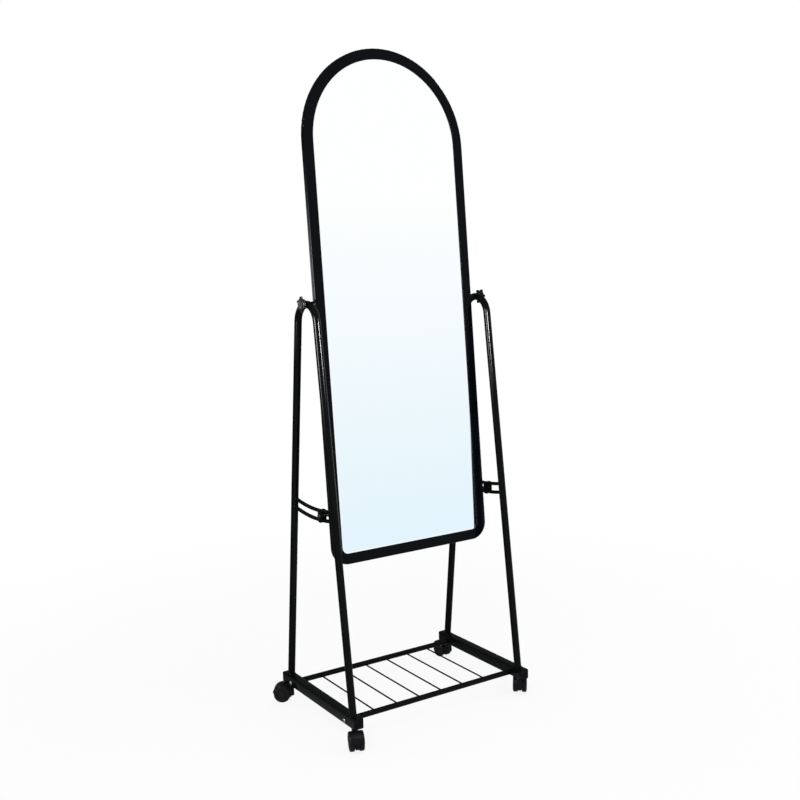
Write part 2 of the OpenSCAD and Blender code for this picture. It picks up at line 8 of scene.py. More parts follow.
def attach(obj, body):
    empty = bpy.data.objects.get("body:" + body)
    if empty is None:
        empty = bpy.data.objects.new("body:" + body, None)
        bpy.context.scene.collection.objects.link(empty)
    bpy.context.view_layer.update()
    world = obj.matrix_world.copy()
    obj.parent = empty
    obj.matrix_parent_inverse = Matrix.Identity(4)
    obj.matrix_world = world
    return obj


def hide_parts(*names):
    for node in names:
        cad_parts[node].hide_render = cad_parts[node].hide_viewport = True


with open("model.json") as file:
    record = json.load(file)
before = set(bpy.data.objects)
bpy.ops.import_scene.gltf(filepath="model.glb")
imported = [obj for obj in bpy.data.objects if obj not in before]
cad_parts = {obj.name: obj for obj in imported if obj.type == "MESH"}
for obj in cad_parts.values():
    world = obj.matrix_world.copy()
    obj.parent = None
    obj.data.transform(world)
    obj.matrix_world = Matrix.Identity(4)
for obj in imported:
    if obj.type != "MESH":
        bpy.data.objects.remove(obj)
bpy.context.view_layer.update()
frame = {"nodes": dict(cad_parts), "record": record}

print("frame loaded:", len(frame["nodes"]), "nodes")

# where things stand, in metres and degrees
place = {
    "pivotHeight": 0.9035,
    "mirrorLean": 4.5,
    "hoopX": 0.218,
    "slotRadius": 0.440,
    "barMid": 0.0536,
    "barTop": 0.0646,
    "barHalfLength": 0.158,
    "railZ": 0.0506,
    "railY": 0.121,
    "footY": 0.137,
    "bendRadius": 0.041,
    "stemY": 0.142,
    "trail": 0.0195,
    "axleHeight": 0.019,
}
headings = {"front_left": -112, "back_left": 145, "front_right": 47, "back_right": 90}  # of the casters
sides = {"left": -1, "right": 1}
ends = {"front": -1, "back": 1}
hair = 0.00001  # closer than this, two points are one


# small tools for modelling

def deselectAll():
    if bpy.context.object and bpy.context.object.mode != "OBJECT":
        bpy.ops.object.mode_set(mode="OBJECT")
    bpy.ops.object.select_all(action="DESELECT")


def pick(obj):
    deselectAll()
    obj.select_set(True)
    bpy.context.view_layer.objects.active = obj


def useModifier(obj, kind, **values):
    pick(obj)
    mod = obj.modifiers.new(kind.lower(), kind)
    for key, value in values.items():
        setattr(mod, key, value)
    bpy.ops.object.modifier_apply(modifier=mod.name)


def selectFaces(obj, test):  # leaves edit mode on, with the faces that pass the test selected
    bpy.ops.object.mode_set(mode="OBJECT")
    mesh = obj.data
    for vert in mesh.vertices:
        vert.select = False
    for edge in mesh.edges:
        edge.select = False
    for face in mesh.polygons:
        face.select = test(face.center, face.normal)
    bpy.ops.object.mode_set(mode="EDIT")
    bpy.ops.mesh.select_mode(type="FACE")


def selectEdges(obj, test):  # leaves edit mode on, with the edges whose ends pass the test selected
    bpy.ops.object.mode_set(mode="EDIT")
    bpy.ops.mesh.select_mode(type="EDGE")
    bpy.ops.mesh.select_all(action="DESELECT")
    bpy.ops.object.mode_set(mode="OBJECT")
    mesh = obj.data
    for edge in mesh.edges:
        start, end = (mesh.vertices[index].co for index in edge.vertices)
        edge.select = test(start, end)
    bpy.ops.object.mode_set(mode="EDIT")


def roundEdges(obj, width, steps=3, limit=35):
    useModifier(obj, "BEVEL", width=width, segments=steps, limit_method="ANGLE",
                angle_limit=radians(limit))


def smooth(obj, angle=35):
    pick(obj)
    bpy.ops.object.shade_smooth_by_angle(angle=radians(angle))


def cutWith(obj, tool):
    useModifier(obj, "BOOLEAN", operation="DIFFERENCE", object=tool, solver="EXACT")
    bpy.data.objects.remove(tool, do_unlink=True)


def joinSolid(obj, tool):
    useModifier(obj, "BOOLEAN", operation="UNION", object=tool, solver="EXACT")
    bpy.data.objects.remove(tool, do_unlink=True)


def addRod(radius, low, high, vertices, x=0, y=0):  # an upright cylinder from low to high
    deselectAll()
    bpy.ops.mesh.primitive_cylinder_add(vertices=vertices, radius=radius, depth=high - low,
                                        location=(x, y, (low + high) / 2))
    bpy.ops.object.transform_apply(location=True, rotation=True, scale=True)
    return bpy.context.object


def copyOf(obj, name):
    twin = obj.copy()
    twin.data = obj.data.copy()
    twin.name = name
    bpy.context.collection.objects.link(twin)
    return twin


def copyOfNode(name, title):  # a clean copy of a CAD node, with its flat faces whole
    piece = copyOf(frame["nodes"][name], title)
    piece.parent = None
    for key in list(piece.keys()):
        del piece[key]
    pick(piece)
    bpy.ops.mesh.customdata_custom_splitnormals_clear()
    bpy.ops.object.mode_set(mode="EDIT")
    bpy.ops.mesh.select_all(action="SELECT")
    bpy.ops.mesh.remove_doubles(threshold=hair)
    bpy.ops.mesh.dissolve_limited(angle_limit=radians(1))
    bpy.ops.object.mode_set(mode="OBJECT")
    return piece


def settle(obj, matrix):  # puts a piece that was made round the origin in its place, in its mesh
    obj.matrix_world = matrix
    pick(obj)
    bpy.ops.object.transform_apply(location=True, rotation=True, scale=True)


def dress(obj, body, slot, material, *nodes):
    obj.data.materials.clear()
    obj.data.materials.append(material)
    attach(obj, body)
    if nodes:
        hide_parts(*nodes)


def outward(side, x, y, z):  # a place on one side of the stand, with the piece's +Z pointing out
    return Matrix.Translation((side * x, y, z)) @ Matrix.Rotation(radians(90 * side), 4, "Y")


def leaning():  # the mirror's own space: x across, y up from the pivot, z towards the viewer
    lean = Matrix.Rotation(radians(90 - place["mirrorLean"]), 4, "X")
    return Matrix.Translation((0, 0, place["pivotHeight"])) @ lean


def onMirror(side, x, y):  # a place on the mirror's edge, with the piece's +Z pointing out
    turn = Matrix.Rotation(radians(90 * side), 4, "Y")
    return leaning() @ Matrix.Translation((side * x, y, 0)) @ turn


# shader node groups that the finishes share

def newGroup(name, inputs, output):
    group = bpy.data.node_groups.new(name, "ShaderNodeTree")
    for label, value in inputs:
        socket = group.interface.new_socket(name=label, in_out="INPUT", socket_type="NodeSocketFloat")
        socket.default_value = value
    group.interface.new_socket(name=output, in_out="OUTPUT", socket_type="NodeSocketFloat")
    return group, group.nodes.new("NodeGroupInput"), group.nodes.new("NodeGroupOutput")


def oneOver(group, size):  # the scale of a texture, from the size of its spots
    scale = group.nodes.new("ShaderNodeMath")
    scale.operation = "DIVIDE"
    scale.inputs[0].default_value = 1
    group.links.new(size, scale.inputs[1])
    return scale.outputs[0]


def makeMottle():  # slow change of tone over a surface, with finer grain on it
    inputs = [("Patch Size", 0.05), ("Grain Size", 0.002), ("Grain Share", 0.4)]
    group, start, end = newGroup("mottle", inputs, "Mask")
    nodes, links = group.nodes, group.links
    coords = nodes.new("ShaderNodeTexCoord")
    noises = []
    for label in ("Patch Size", "Grain Size"):
        noise = nodes.new("ShaderNodeTexNoise")
        noise.inputs["Detail"].default_value = 3
        links.new(coords.outputs["Object"], noise.inputs["Vector"])
        links.new(oneOver(group, start.outputs[label]), noise.inputs["Scale"])
        noises.append(noise)
    mix = nodes.new("ShaderNodeMix")
    links.new(start.outputs["Grain Share"], mix.inputs["Factor"])
    links.new(noises[0].outputs["Fac"], mix.inputs["A"])
    links.new(noises[1].outputs["Fac"], mix.inputs["B"])
    spread = nodes.new("ShaderNodeMapRange")
    spread.inputs["From Min"].default_value = 0.32  # the noise seldom leaves this range
    spread.inputs["From Max"].default_value = 0.68
    links.new(mix.outputs["Result"], spread.inputs["Value"])
    links.new(spread.outputs["Result"], end.inputs["Mask"])
    return group


def makeRelief():  # height of a skin: broad ripple of sprayed paint, or pits of moulded plastic
    inputs = [("Ripple Size", 0.004), ("Pit Size", 0.0006), ("Pit Share", 0.3)]
    group, start, end = newGroup("relief", inputs, "Height")
    nodes, links = group.nodes, group.links
    coords = nodes.new("ShaderNodeTexCoord")
    heights = []
    for label, kind, output in (("Ripple Size", "ShaderNodeTexNoise", "Fac"),
                                ("Pit Size", "ShaderNodeTexVoronoi", "Distance")):
        texture = nodes.new(kind)
        links.new(coords.outputs["Object"], texture.inputs["Vector"])
        links.new(oneOver(group, start.outputs[label]), texture.inputs["Scale"])
        heights.append(texture.outputs[output])
    mix = nodes.new("ShaderNodeMix")
    links.new(start.outputs["Pit Share"], mix.inputs["Factor"])
    links.new(heights[0], mix.inputs["A"])
    links.new(heights[1], mix.inputs["B"])
    links.new(mix.outputs["Result"], end.inputs["Height"])
    return group


mottle = makeMottle()
relief = makeRelief()

# colours are linear; sizes are in metres
finishes = {
    "frame_enamel": {
        "dark": (0.0010, 0.0018, 0.0030), "light": (0.0022, 0.0034, 0.0052),
        "patch": 0.06, "grain": 0.003, "share": 0.3, "rough": (0.06, 0.13),
        "ripple": 0.008, "pit": 0.0009, "pitShare": 0.10, "bump": 0.04, "depth": 0.0002,
        "specular": 0.045, "metal": 0,
    },
    "rod_enamel": {
        "dark": (0.0012, 0.0014, 0.0014), "light": (0.0028, 0.0032, 0.0032),
        "patch": 0.03, "grain": 0.0015, "share": 0.4, "rough": (0.40, 0.55),
        "ripple": 0.003, "pit": 0.0006, "pitShare": 0.4, "bump": 0.08, "depth": 0.0002,
        "specular": 0.02, "metal": 0,
    },
    "tube_enamel": {
        "dark": (0.0016, 0.0024, 0.0024), "light": (0.0034, 0.0044, 0.0044),
        "patch": 0.05, "grain": 0.002, "share": 0.35, "rough": (0.03, 0.07),
        "ripple": 0.006, "pit": 0.0008, "pitShare": 0.12, "bump": 0.04, "depth": 0.0002,
        "specular": 0.05, "metal": 0,
    },
    "black_plastic": {
        "dark": (0.0022, 0.0022, 0.0026), "light": (0.0046, 0.0045, 0.0050),
        "patch": 0.02, "grain": 0.0012, "share": 0.5, "rough": (0.42, 0.58),
        "ripple": 0.002, "pit": 0.0005, "pitShare": 0.6, "bump": 0.16, "depth": 0.0002,
        "specular": 0.04, "metal": 0,
    },
    "knob_plastic": {
        "dark": (0.0050, 0.0050, 0.0050), "light": (0.0100, 0.0100, 0.0100),
        "patch": 0.015, "grain": 0.0010, "share": 0.5, "rough": (0.38, 0.52),
        "ripple": 0.002, "pit": 0.0005, "pitShare": 0.6, "bump": 0.16, "depth": 0.0002,
        "specular": 0.06, "metal": 0,
    },
    "knob_face": {
        "dark": (0.066, 0.066, 0.062), "light": (0.098, 0.098, 0.092),
        "patch": 0.008, "grain": 0.0008, "share": 0.5, "rough": (0.50, 0.64),
        "ripple": 0.002, "pit": 0.0005, "pitShare": 0.6, "bump": 0.14, "depth": 0.0002,
        "specular": 0.02, "metal": 0,
    },
    "caster_plastic": {
        "dark": (0.0042, 0.0039, 0.0060), "light": (0.0084, 0.0078, 0.0108),
        "patch": 0.015, "grain": 0.0010, "share": 0.5, "rough": (0.26, 0.40),
        "ripple": 0.002, "pit": 0.0005, "pitShare": 0.5, "bump": 0.12, "depth": 0.0002,
        "specular": 0.05, "metal": 0,
    },
    "wheel_plastic": {
        "dark": (0.0060, 0.0056, 0.0066), "light": (0.0120, 0.0114, 0.0122),
        "patch": 0.010, "grain": 0.0009, "share": 0.5, "rough": (0.46, 0.64),
        "ripple": 0.0015, "pit": 0.0006, "pitShare": 0.5, "bump": 0.20, "depth": 0.0002,
        "specular": 0.06, "metal": 0,
    },
    "zinc_steel": {
        "dark": (0.16, 0.165, 0.18), "light": (0.30, 0.305, 0.315),
        "patch": 0.006, "grain": 0.0006, "share": 0.4, "rough": (0.24, 0.44),
        "ripple": 0.0012, "pit": 0.0004, "pitShare": 0.3, "bump": 0.12, "depth": 0.0002,
        "specular": 0.5, "metal": 1,
    },
    "blackened_steel": {
        "dark": (0.010, 0.010, 0.012), "light": (0.024, 0.024, 0.027),
        "patch": 0.006, "grain": 0.0006, "share": 0.4, "rough": (0.26, 0.42),
        "ripple": 0.0012, "pit": 0.0004, "pitShare": 0.3, "bump": 0.10, "depth": 0.0002,
        "specular": 0.15, "metal": 0,
    },
    "foam": {
        "dark": (0.62, 0.62, 0.58), "light": (0.76, 0.76, 0.72),
        "patch": 0.03, "grain": 0.0012, "share": 0.6, "rough": (0.85, 0.95),
        "ripple": 0.002, "pit": 0.0010, "pitShare": 0.8, "bump": 0.4, "depth": 0.0006,
        "specular": 0.2, "metal": 0,
    },
    "fibreboard": {
        "dark": (0.115, 0.062, 0.030), "light": (0.215, 0.125, 0.064),
        "patch": 0.04, "grain": 0.0011, "share": 0.65, "rough": (0.62, 0.80),
        "ripple": 0.003, "pit": 0.0008, "pitShare": 0.4, "bump": 0.3, "depth": 0.0004,
        "specular": 0.25, "metal": 0,
    },
}


def placeGroup(tree, group, values):
    node = tree.nodes.new("ShaderNodeGroup")
    node.node_tree = group
    for label, value in values.items():
        node.inputs[label].default_value = value
    return node


def addTone(tree, look, shader):  # the slow change of tone also moves the roughness
    tone = placeGroup(tree, mottle, {"Patch Size": look["patch"], "Grain Size": look["grain"],
                                     "Grain Share": look["share"]})
    rough = tree.nodes.new("ShaderNodeMapRange")
    rough.inputs["To Min"].default_value, rough.inputs["To Max"].default_value = look["rough"]
    tree.links.new(tone.outputs["Mask"], rough.inputs["Value"])
    tree.links.new(rough.outputs["Result"], shader.inputs["Roughness"])
    return tone.outputs["Mask"]


def makeFinish(name, look):
    material = bpy.data.materials.new(name)
    material.use_nodes = True
    tree = material.node_tree
    nodes, links = tree.nodes, tree.links
    shader = nodes["Principled BSDF"]
    shader.inputs["Metallic"].default_value = look["metal"]
    shader.inputs["Specular IOR Level"].default_value = look["specular"]
    mask = addTone(tree, look, shader)
    colour = nodes.new("ShaderNodeMix")
    colour.data_type = "RGBA"
    colour.inputs["A"].default_value = (*look["dark"], 1)
    colour.inputs["B"].default_value = (*look["light"], 1)
    links.new(mask, colour.inputs["Factor"])
    links.new(colour.outputs["Result"], shader.inputs["Base Color"])
    skin = placeGroup(tree, relief, {"Ripple Size": look["ripple"], "Pit Size": look["pit"],
                                     "Pit Share": look["pitShare"]})
    bump = nodes.new("ShaderNodeBump")
    bump.inputs["Strength"].default_value = look["bump"]
    bump.inputs["Distance"].default_value = look["depth"]
    links.new(skin.outputs["Height"], bump.inputs["Height"])
    links.new(bump.outputs["Normal"], shader.inputs["Normal"])
    return material


# painted reflection: the pane's colour goes from near white at the top to pale blue at the bottom, by
# height
panePaintedReflection = {
    "top": (0.990, 0.995, 0.995), "bottom": (0.768, 0.905, 0.973),
    "topHeight": 1.13, "bottomHeight": 0.40, "rough": (0.012, 0.03),
    "patch": 0.12, "grain": 0.004, "share": 0.15,
}
# the polished border carries the same painted reflection, whiter and fainter
borderPaintedReflection = {
    "top": (0.975, 0.985, 0.985), "bottom": (0.930, 0.965, 0.980),
    "topHeight": 1.13, "bottomHeight": 0.40, "rough": (0.06, 0.12),
    "patch": 0.12, "grain": 0.004, "share": 0.15,
}


def makeMirrorWithPaintedReflection(name, look):  # silvered glass with a painted reflection in its colour: near white at the top, pale blue deepening towards the bottom
    material = bpy.data.materials.new(name)
    material.use_nodes = True
    tree = material.node_tree
    nodes, links = tree.nodes, tree.links
    shader = nodes["Principled BSDF"]
    shader.inputs["Metallic"].default_value = 1
    coords = nodes.new("ShaderNodeTexCoord")
    split = nodes.new("ShaderNodeSeparateXYZ")
    links.new(coords.outputs["Object"], split.inputs["Vector"])
    height = nodes.new("ShaderNodeMapRange")
    height.inputs["From Min"].default_value = look["bottomHeight"]
    height.inputs["From Max"].default_value = look["topHeight"]
    links.new(split.outputs["Z"], height.inputs["Value"])
    colour = nodes.new("ShaderNodeMix")
    colour.data_type = "RGBA"
    colour.inputs["A"].default_value = (*look["bottom"], 1)
    colour.inputs["B"].default_value = (*look["top"], 1)
    links.new(height.outputs["Result"], colour.inputs["Factor"])
    links.new(colour.outputs["Result"], shader.inputs["Base Color"])
    addTone(tree, look, shader)
    return material


materials = {name: makeFinish(name, look) for name, look in finishes.items()}
materials["mirror_glass"] = makeMirrorWithPaintedReflection("mirror_glass", panePaintedReflection)
materials["polished_edge"] = makeMirrorWithPaintedReflection("polished_edge", borderPaintedReflection)
print("finishes made:", len(materials))


# every node of the frame takes the finish that its slot names
slotOf = {piece["node"]: piece["material_slot"] for piece in frame["record"]["subparts"]}
bodyOf = {name: body for body, names in frame["record"]["behaviour"]["bodies"].items() for name in names}
for name, node in frame["nodes"].items():
    node.data.materials.clear()
    dull = name == "shelf_wires" or name.endswith("er_guide")  # thin rods have a thin, dull coat
    node.data.materials.append(materials["rod_enamel" if dull else slotOf[name]])


# the base bars: square tube with rounded corners

barLook = {"size": 0.022, "wall": 0.0015, "corner": 0.0022, "steps": 4}


def makeBars(look):
    deselectAll()
    size = look["size"]
    bpy.ops.mesh.primitive_cube_add(size=1, scale=(size, 2 * place["barHalfLength"], size))
    bar = bpy.context.object
    bpy.ops.object.transform_apply(location=True, rotation=True, scale=True)
    selectEdges(bar, lambda start, end: abs(start.y - end.y) > size)
    bpy.ops.mesh.bevel(offset=look["corner"], segments=look["steps"], profile=0.5)
    selectFaces(bar, lambda centre, normal: abs(normal.y) > 0.9)
    bpy.ops.mesh.delete(type="ONLY_FACE")
    bpy.ops.object.mode_set(mode="OBJECT")
    useModifier(bar, "SOLIDIFY", thickness=look["wall"], offset=-1, use_even_offset=True)
    smooth(bar)
    for side, sign in sides.items():
        piece = copyOf(bar, side + "BarTube")
        settle(piece, Matrix.Translation((sign * place["hoopX"], 0, place["barMid"])))
        dress(piece, "stand", "tube_enamel", materials["tube_enamel"], side + "_base_bar")
    bpy.data.objects.remove(bar, do_unlink=True)


makeBars(barLook)


# the end caps: a plate with a shallow dish, and a plug in the bar

capLook = {
    "size": 0.022, "plate": 0.002, "corner": 0.0022, "plug": 0.0189, "plugDepth": 0.006,
    "rim": 0.0019, "dish": 0.0004, "dishWall": 0.0003, "edge": 0.0004,
}


def makeCaps(look):
    deselectAll()
    size, plate = look["size"], look["plate"]
    bpy.ops.mesh.primitive_cube_add(size=1, scale=(size, size, plate), location=(0, 0, plate / 2))
    cap = bpy.context.object
    bpy.ops.object.transform_apply(location=True, rotation=True, scale=True)
    selectEdges(cap, lambda start, end: abs(start.z - end.z) > plate / 2)
    bpy.ops.mesh.bevel(offset=look["corner"], segments=4)
    selectFaces(cap, lambda centre, normal: normal.z > 0.9)
    bpy.ops.mesh.inset(thickness=look["rim"])
    bpy.ops.mesh.inset(thickness=look["dishWall"], depth=-look["dish"])
    selectFaces(cap, lambda centre, normal: normal.z < -0.9)
    bpy.ops.mesh.inset(thickness=(size - look["plug"]) / 2)
    bpy.ops.mesh.extrude_region_move(TRANSFORM_OT_translate={"value": (0, 0, -look["plugDepth"])})
    bpy.ops.object.mode_set(mode="OBJECT")
    roundEdges(cap, look["edge"], steps=2, limit=50)
    smooth(cap)
    for side, sign in sides.items():
        for end, way in ends.items():
            corner = end + "_" + side
            piece = copyOf(cap, corner + "Cap")
            turn = Matrix.Rotation(radians(-90 * way), 4, "X")
            spot = (sign * place["hoopX"], way * place["barHalfLength"], place["barMid"])
            settle(piece, Matrix.Translation(spot) @ turn)
            dress(piece, "stand", "black_plastic", materials["black_plastic"], corner + "_end_cap")
    bpy.data.objects.remove(cap, do_unlink=True)


makeCaps(capLook)


# button-head screws with a hexagonal socket: four on the rails and one on each slider

railScrewLook = {
    "head": 0.0095, "height": 0.00275, "socket": 0.0030, "shank": 0.005, "shankLength": 0.036,
    "crown": 0.62, "socketFloor": 0.48, "burr": 0.00012, "start": 0.229,
}
sliderScrewLook = {
    "head": 0.0105, "height": 0.0032, "socket": 0.0040, "shank": 0.006, "shankLength": 0.0286,
    "crown": 0.62, "socketFloor": 0.48, "burr": 0.00012, "start": 0.2241,
}


def makeScrew(look):  # the head stands on z = 0 and the shank runs down from it
    height = look["height"]
    screw = addRod(look["head"] / 2, 0, height, vertices=48)
    selectFaces(screw, lambda centre, normal: normal.z > 0.9)
    bpy.ops.mesh.bevel(offset=height * look["crown"], segments=5)
    selectFaces(screw, lambda centre, normal: normal.z < -0.9)
    bpy.ops.mesh.inset(thickness=(look["head"] - look["shank"]) / 2)
    bpy.ops.mesh.extrude_region_move(TRANSFORM_OT_translate={"value": (0, 0, -look["shankLength"])})
    bpy.ops.object.mode_set(mode="OBJECT")
    floor = height * look["socketFloor"]
    cutWith(screw, addRod(look["socket"] / 2 / cos(pi / 6), floor, floor + height, vertices=6))
    roundEdges(screw, look["burr"], steps=1, limit=40)
    smooth(screw, angle=30)
    return screw


def makeScrews():
    screw = makeScrew(railScrewLook)
    for side, sign in sides.items():
        for end, way in ends.items():
            piece = copyOf(screw, end + "_" + side + "RailScrew")
            settle(piece, outward(sign, railScrewLook["start"], way * place["railY"], place["railZ"]))
            dress(piece, "stand", "zinc_steel", materials["zinc_steel"], "rail_screws")
    bpy.data.objects.remove(screw, do_unlink=True)
    screw = makeScrew(sliderScrewLook)
    for side, sign in sides.items():
        piece = copyOf(screw, side + "SliderScrew")
        settle(piece, onMirror(sign, sliderScrewLook["start"], -place["slotRadius"]))
        dress(piece, "mirror", "blackened_steel", materials["blackened_steel"], side + "_slider_bolt")
    bpy.data.objects.remove(screw, do_unlink=True)


makeScrews()


# the clamp knobs: six small lobes round a flat body, with a raised boss in the middle

knobLook = {
    "lobes": 6, "lobeRadius": 0.0029, "reach": 0.01675, "core": 0.0125, "thickness": 0.005,
    "valley": 0.0012, "boss": 0.0085, "bossTop": 0.0062, "bore": 0.00305, "cover": 0.002, "edge": 0.0007,
    "ring": 0.0014, "ringStep": 0.0003, "faceFrom": 0.0054, "start": 0.2274,
    "turns": {"left": 30, "right": 0},
}


def makeKnobs(look):
    thick, core, small = look["thickness"], look["core"], look["lobeRadius"]
    knob = addRod(core, 0, thick, vertices=72)
    turns = [2 * pi * index / look["lobes"] for index in range(look["lobes"])]
    lobes = [(look["reach"] - small) * Vector((cos(turn), sin(turn))) for turn in turns]
    for lobe in lobes:
        joinSolid(knob, addRod(small, 0, thick, vertices=32, x=lobe.x, y=lobe.y))

    def inValley(point):  # on the line where a lobe meets the body
        apart = min((point.xy - lobe).length for lobe in lobes)
        return abs(apart - small) < 10 * hair and abs(point.xy.length - core) < 10 * hair

    def upright(start, end):
        return abs(start.z - end.z) > thick / 2

    pick(knob)
    selectEdges(knob, lambda start, end: upright(start, end) and inValley(start) and inValley(end))
    bpy.ops.mesh.bevel(offset=look["valley"], segments=4)
    bpy.ops.object.mode_set(mode="OBJECT")
    joinSolid(knob, addRod(look["boss"], thick / 2, look["bossTop"], vertices=72))
    cutWith(knob, addRod(look["bore"], -thick, look["bossTop"] - look["cover"], vertices=32))
    roundEdges(knob, look["edge"], steps=3, limit=50)
    pick(knob)
    selectFaces(knob, lambda centre, normal: normal.z > 0.99 and centre.z > look["bossTop"] - hair)
    bpy.ops.mesh.inset(thickness=look["ring"])
    bpy.ops.mesh.inset(thickness=look["ringStep"], depth=-look["ringStep"])
    bpy.ops.mesh.inset(thickness=look["ringStep"], depth=look["ringStep"])
    bpy.ops.object.mode_set(mode="OBJECT")
    smooth(knob, angle=30)
    faceOfBoss = [face.index for face in knob.data.polygons if face.center.z > look["faceFrom"]]
    for side, sign in sides.items():
        piece = copyOf(knob, side + "Knob")
        turn = Matrix.Rotation(radians(look["turns"][side]), 4, "Z")
        settle(piece, onMirror(sign, look["start"], 0) @ turn)
        dress(piece, side + "_knob", "knob_plastic", materials["knob_plastic"], side + "_pivot_knob")
        piece.data.materials.append(materials["knob_face"])
        for index in faceOfBoss:
            piece.data.polygons[index].material_index = 1
    bpy.data.objects.remove(knob, do_unlink=True)


makeKnobs(knobLook)


# the caster wheels: a rounded tread with a shallow groove, a dished face with pockets and a raised hub

wheelLook = {
    "radius": 0.019, "width": 0.0106, "tread": 0.0025, "rim": 0.0140, "dish": 0.0012, "hub": 0.0060,
    "wall": 0.0006, "hubRing": 0.0012, "hubStep": 0.0004, "bore": 0.00205, "boreDepth": 0.0090,
    "pockets": 6, "pocket": 0.0019, "pocketReach": 0.0101, "pocketDepth": 0.0007,
    "groove": 0.0021, "grooveStep": 0.0003, "outer": 0.0152, "onAxis": 0.001, "atRim": 0.0002,
}


def makeWheel(look):  # the inner face lies on z = 0 and the dished face looks up
    radius, width, wall = look["radius"], look["width"], look["wall"]
    wheel = addRod(radius, 0, width, vertices=96)
    selectFaces(wheel, lambda centre, normal: abs(normal.z) > 0.9)
    bpy.ops.mesh.bevel(offset=look["tread"], segments=6)
    selectFaces(wheel, lambda centre, normal: normal.z > 0.9 and centre.xy.length < look["onAxis"])
    bpy.ops.mesh.inset(thickness=radius - look["tread"] - look["rim"])
    bpy.ops.mesh.inset(thickness=wall, depth=-look["dish"])
    bpy.ops.mesh.inset(thickness=look["rim"] - look["hub"] - 2 * wall)
    bpy.ops.mesh.inset(thickness=wall, depth=look["dish"])
    bpy.ops.mesh.inset(thickness=look["hubRing"])
    bpy.ops.mesh.inset(thickness=look["hubStep"], depth=-look["hubStep"])
    selectFaces(wheel, lambda centre, normal: normal.z < -0.9 and centre.xy.length < look["onAxis"])
    bpy.ops.mesh.inset(thickness=radius - look["tread"] - look["bore"])
    bpy.ops.mesh.extrude_region_move(TRANSFORM_OT_translate={"value": (0, 0, look["boreDepth"])})
    outside = radius - look["atRim"]
    selectFaces(wheel, lambda centre, normal: abs(normal.z) < 0.01 and centre.xy.length > outside)
    bpy.ops.mesh.inset(thickness=look["groove"])
    bpy.ops.mesh.inset(thickness=look["grooveStep"], depth=-look["grooveStep"])
    bpy.ops.object.mode_set(mode="OBJECT")
    floor = width - look["dish"] - look["pocketDepth"]
    reach = look["pocketReach"]
    for index in range(look["pockets"]):
        turn = 2 * pi * index / look["pockets"]
        x, y = reach * cos(turn), reach * sin(turn)
        cutWith(wheel, addRod(look["pocket"], floor, width, vertices=24, x=x, y=y))
    smooth(wheel, angle=30)
    return wheel


def axlePlace(corner):  # the middle of a caster, with the axle along the piece's Z
    end, side = corner.split("_")
    stem = Matrix.Translation((sides[side] * place["hoopX"], ends[end] * place["stemY"], 0))
    heading = Matrix.Rotation(radians(headings[corner]), 4, "Z")
    axle = Matrix.Translation((place["trail"], 0, place["axleHeight"]))
    return stem @ heading @ axle @ Matrix.Rotation(pi / 2, 4, "X")


def makeWheels(look):
    wheel = makeWheel(look)
    out = Matrix.Translation((0, 0, look["outer"] - look["width"]))
    for corner in headings:
        for number, flip in ((1, 0), (2, pi)):
            piece = copyOf(wheel, "%sWheel%d" % (corner, number))
            settle(piece, axlePlace(corner) @ Matrix.Rotation(flip, 4, "X") @ out)
            dress(piece, "%s_wheel_%d" % (corner, number), "wheel_plastic", materials["wheel_plastic"],
                  "%s_caster_wheel_%d" % (corner, number))
    bpy.data.objects.remove(wheel, do_unlink=True)


makeWheels(wheelLook)


# moulded and pressed pieces keep their shape and get rounded edges

softEdges = {
    "hood": {"names": [corner + "_caster_hood" for corner in headings], "width": 0.0007, "steps": 3},
    "plate": {"names": [side + way + "_slider_plate" for side in sides for way in ("_inner", "_outer")],
              "width": 0.0005, "steps": 2},
    "pivot": {"names": [side + part for side in sides for part in ("_pivot_spacer", "_slider_post")],
              "width": 0.0004, "steps": 2},
    "clip": {"names": ["retaining_clips"], "width": 0.0003, "steps": 2},
}


def makeSoftEdges(look):
    for name in look["names"]:
        piece = copyOfNode(name, name + "Moulded")
        roundEdges(piece, look["width"], look["steps"], limit=42)
        smooth(piece, angle=30)
        dress(piece, bodyOf[name], slotOf[name], materials[slotOf[name]], name)


for look in softEdges.values():
    makeSoftEdges(look)
print("knobs, wheels and moulded pieces made")


# weld beads where the hoops stand on the bars and where the guide rods meet the hoops

weldLook = {
    "footRadius": 0.0085, "footBead": 0.0013, "footLift": 0.0003, "rodRadius": 0.0042, "rodBead": 0.0011,
    "rough": 0.0005, "grain": 0.0022, "rodRadii": (0.4302, 0.4498), "legLean": 6.840, "seat": 0.0078,
}


def makeBead(name, radius, bead, matrix, look):
    deselectAll()
    bpy.ops.mesh.primitive_torus_add(major_radius=radius, minor_radius=bead,
                                     major_segments=64, minor_segments=12)
    weld = bpy.context.object
    weld.name = name
    ripple = bpy.data.textures.new(name, "CLOUDS")
    ripple.noise_scale = look["grain"]
    useModifier(weld, "DISPLACE", texture=ripple, strength=look["rough"], mid_level=0.5,
                texture_coords="LOCAL")
    smooth(weld, angle=60)
    settle(weld, matrix)
    dress(weld, "stand", "tube_enamel", materials["tube_enamel"])


def makeWelds(look):
    lean = radians(look["legLean"])
    offset = place["bendRadius"] * (1 - sin(lean))  # of a leg's line from the pivot
    for side, sign in sides.items():
        x = sign * place["hoopX"]
        for end, way in ends.items():
            corner = end + "_" + side
            foot = Matrix.Translation((x, way * place["footY"], place["barTop"] + look["footLift"]))
            makeBead(corner + "FootWeld", look["footRadius"], look["footBead"], foot, look)
            for level, reach in zip(("Upper", "Lower"), look["rodRadii"]):
                turn = lean + math.asin(offset / reach) - look["seat"] / reach
                spot = (x, way * reach * sin(turn), place["pivotHeight"] - reach * cos(turn))
                tilt = Matrix.Rotation(way * turn + pi / 2, 4, "X")
                matrix = Matrix.Translation(spot) @ tilt
                makeBead(corner + level + "RodWeld", look["rodRadius"], look["rodBead"], matrix, look)


makeWelds(weldLook)
print("stand dressed")


# the screws of the retaining clips: pan heads with a cross slot

